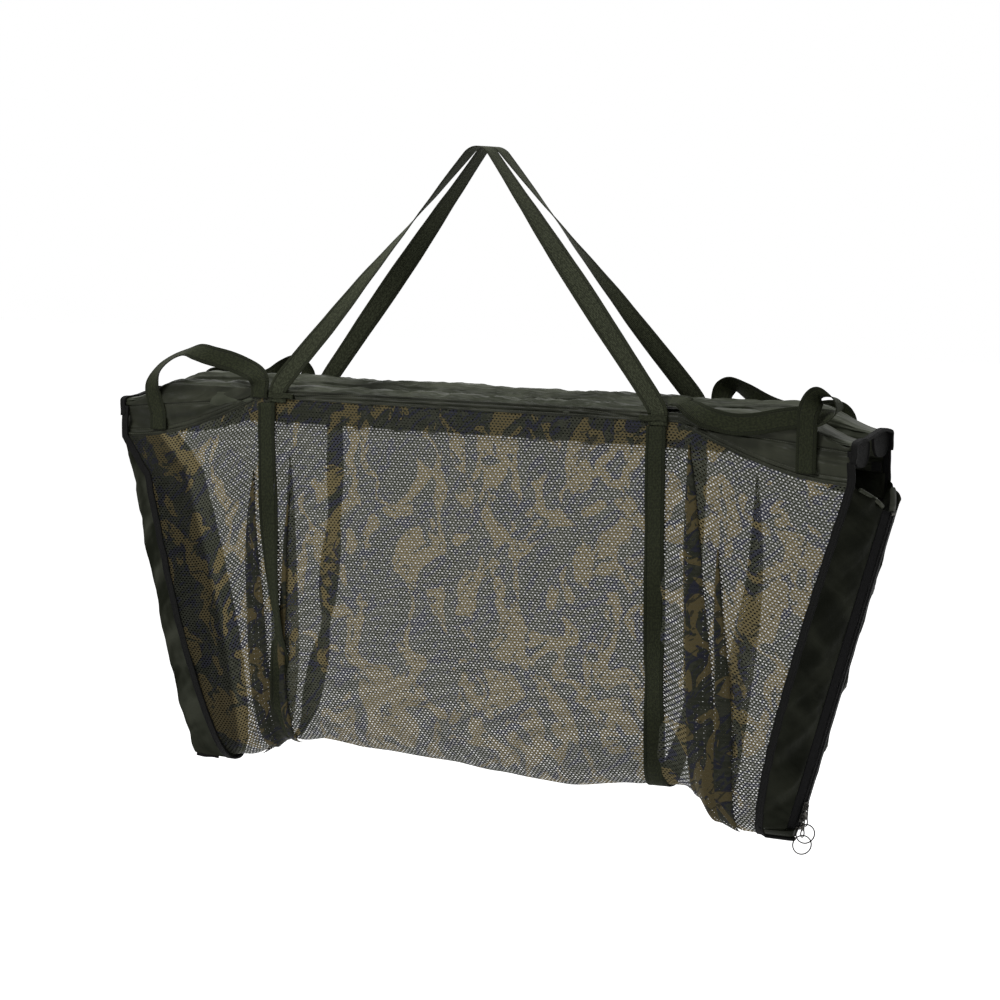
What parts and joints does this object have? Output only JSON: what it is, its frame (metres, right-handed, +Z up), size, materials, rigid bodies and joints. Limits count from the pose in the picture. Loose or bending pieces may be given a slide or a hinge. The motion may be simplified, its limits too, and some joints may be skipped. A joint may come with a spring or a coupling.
{
  "type": "weigh sling",
  "caption": "Mesh trough for weighing fish, hung from float sleeves by webbing loops, with carry handles, nylon gusset ends and a zip down one end with pull tabs and rings.",
  "frame": {"origin": "top of the webbing loops, where they pass over the scale's hook", "axes": "+X along the sling towards its zipped end, -Y towards the front, +Z up"},
  "size_m": [1.2829, 0.1573, 0.9585],
  "materials": {
    "nylon": "soft satin sheen",
    "camo_mesh": "open knitted mesh, camouflage print",
    "webbing": "ribbed weave",
    "black_trim": "matt",
    "foam": "closed-cell foam",
    "gunmetal": "dark polished",
    "bright_steel": "bright",
    "label_cloth": "matt"
  },
  "bodies": {
    "sling": {"mesh_trough": "camo_mesh", "front_band": "nylon", "back_band": "nylon", "front_float_sleeve": "nylon", "back_float_sleeve": "nylon", "left_end_panel": "nylon", "right_front_gusset": "nylon", "right_back_gusset": "nylon", "right_end_foot": "nylon", "zip_tongue": "nylon", "front_float_bar": "foam", "back_float_bar": "foam", "front_left_sleeve_end": "black_trim", "front_right_sleeve_end": "black_trim", "back_left_sleeve_end": "black_trim", "back_right_sleeve_end": "black_trim", "left_end_binding": "black_trim", "right_end_binding": "black_trim", "left_foot_binding": "black_trim", "right_foot_binding": "black_trim", "front_zip_tape": "black_trim", "back_zip_tape": "black_trim", "front_zip_coil": "black_trim", "back_zip_coil": "black_trim", "zip_bottom_stop": "gunmetal", "zip_top_stop": "gunmetal", "left_belt": "webbing", "right_belt": "webbing", "front_left_handle_patch": "webbing", "front_right_handle_patch": "webbing", "back_left_handle_patch": "webbing", "back_right_handle_patch": "webbing", "front_left_loop_tack": "webbing", "front_right_loop_tack": "webbing", "back_left_loop_tack": "webbing", "back_right_loop_tack": "webbing", "bare_label": "label_cloth"},
    "front_loop": {"front_weigh_loop": "webbing"},
    "back_loop": {"back_weigh_loop": "webbing"},
    "front_left_carry": {"front_left_handle": "webbing"},
    "front_right_carry": {"front_right_handle": "webbing"},
    "back_left_carry": {"back_left_handle": "webbing"},
    "back_right_carry": {"back_right_handle": "webbing"},
    "lower_zip_slider": {"lower_slider": "gunmetal"},
    "upper_zip_slider": {"upper_slider": "gunmetal"},
    "lower_pull": {"lower_pull_tab": "gunmetal"},
    "upper_pull": {"upper_pull_tab": "gunmetal"},
    "lower_ring": {"lower_split_ring": "bright_steel"},
    "upper_ring": {"upper_split_ring": "bright_steel"}
  },
  "joints": [
    {"name": "front_loop_hinge", "type": "hinge", "parent": "sling", "child": "front_loop", "pos_m": [0, -0.0653, -0.3632], "axis": [1, 0, 0], "range_deg": [0, 150]},
    {"name": "back_loop_hinge", "type": "hinge", "parent": "sling", "child": "back_loop", "pos_m": [0, 0.0653, -0.3632], "axis": [-1, 0, 0], "range_deg": [0, 150]},
    {"name": "front_left_handle_hinge", "type": "hinge", "parent": "sling", "child": "front_left_carry", "pos_m": [-0.536, -0.0637, -0.40688], "axis": [0.9848, 0, 0.1738], "range_deg": [0, 110]},
    {"name": "front_right_handle_hinge", "type": "hinge", "parent": "sling", "child": "front_right_carry", "pos_m": [0.536, -0.0637, -0.40688], "axis": [0.9848, 0, -0.1738], "range_deg": [0, 110]},
    {"name": "back_left_handle_hinge", "type": "hinge", "parent": "sling", "child": "back_left_carry", "pos_m": [-0.536, 0.0637, -0.40688], "axis": [-0.9848, 0, -0.1738], "range_deg": [0, 110]},
    {"name": "back_right_handle_hinge", "type": "hinge", "parent": "sling", "child": "back_right_carry", "pos_m": [0.536, 0.0637, -0.40688], "axis": [-0.9848, 0, 0.1738], "range_deg": [0, 110]},
    {"name": "lower_slider_slide", "type": "slide", "parent": "sling", "child": "lower_zip_slider", "axis": [0.2696, 0, 0.963], "range_m": [0, 0.12]},
    {"name": "upper_slider_slide", "type": "slide", "parent": "lower_zip_slider", "child": "upper_zip_slider", "axis": [0.2696, 0, 0.963], "range_m": [0, 0.28]},
    {"name": "lower_pull_hinge", "type": "hinge", "parent": "lower_zip_slider", "child": "lower_pull", "pos_m": [0.52099, -0.00153, -0.90604], "axis": [-0.2492, -0.9659, 0.0698], "range_deg": [0, 120]},
    {"name": "upper_pull_hinge", "type": "hinge", "parent": "upper_zip_slider", "child": "upper_pull", "pos_m": [0.52544, -0.00153, -0.89015], "axis": [-0.2492, -0.9659, 0.0698], "range_deg": [0, 120]},
    {"name": "lower_ring_swing", "type": "hinge", "parent": "lower_pull", "child": "lower_ring", "pos_m": [0.52057, -0.00316, -0.93008], "axis": [0.7771, 0.6293, 0], "range_deg": [0, 35]},
    {"name": "upper_ring_swing", "type": "hinge", "parent": "upper_pull", "child": "upper_ring", "pos_m": [0.52502, -0.00316, -0.91419], "axis": [-0.7771, -0.6293, 0], "range_deg": [0, 70]}
  ],
  "couplings": [
    {"joint": "lower_pull_hinge", "follows": "upper_pull_hinge", "ratio": 1}
  ]
}
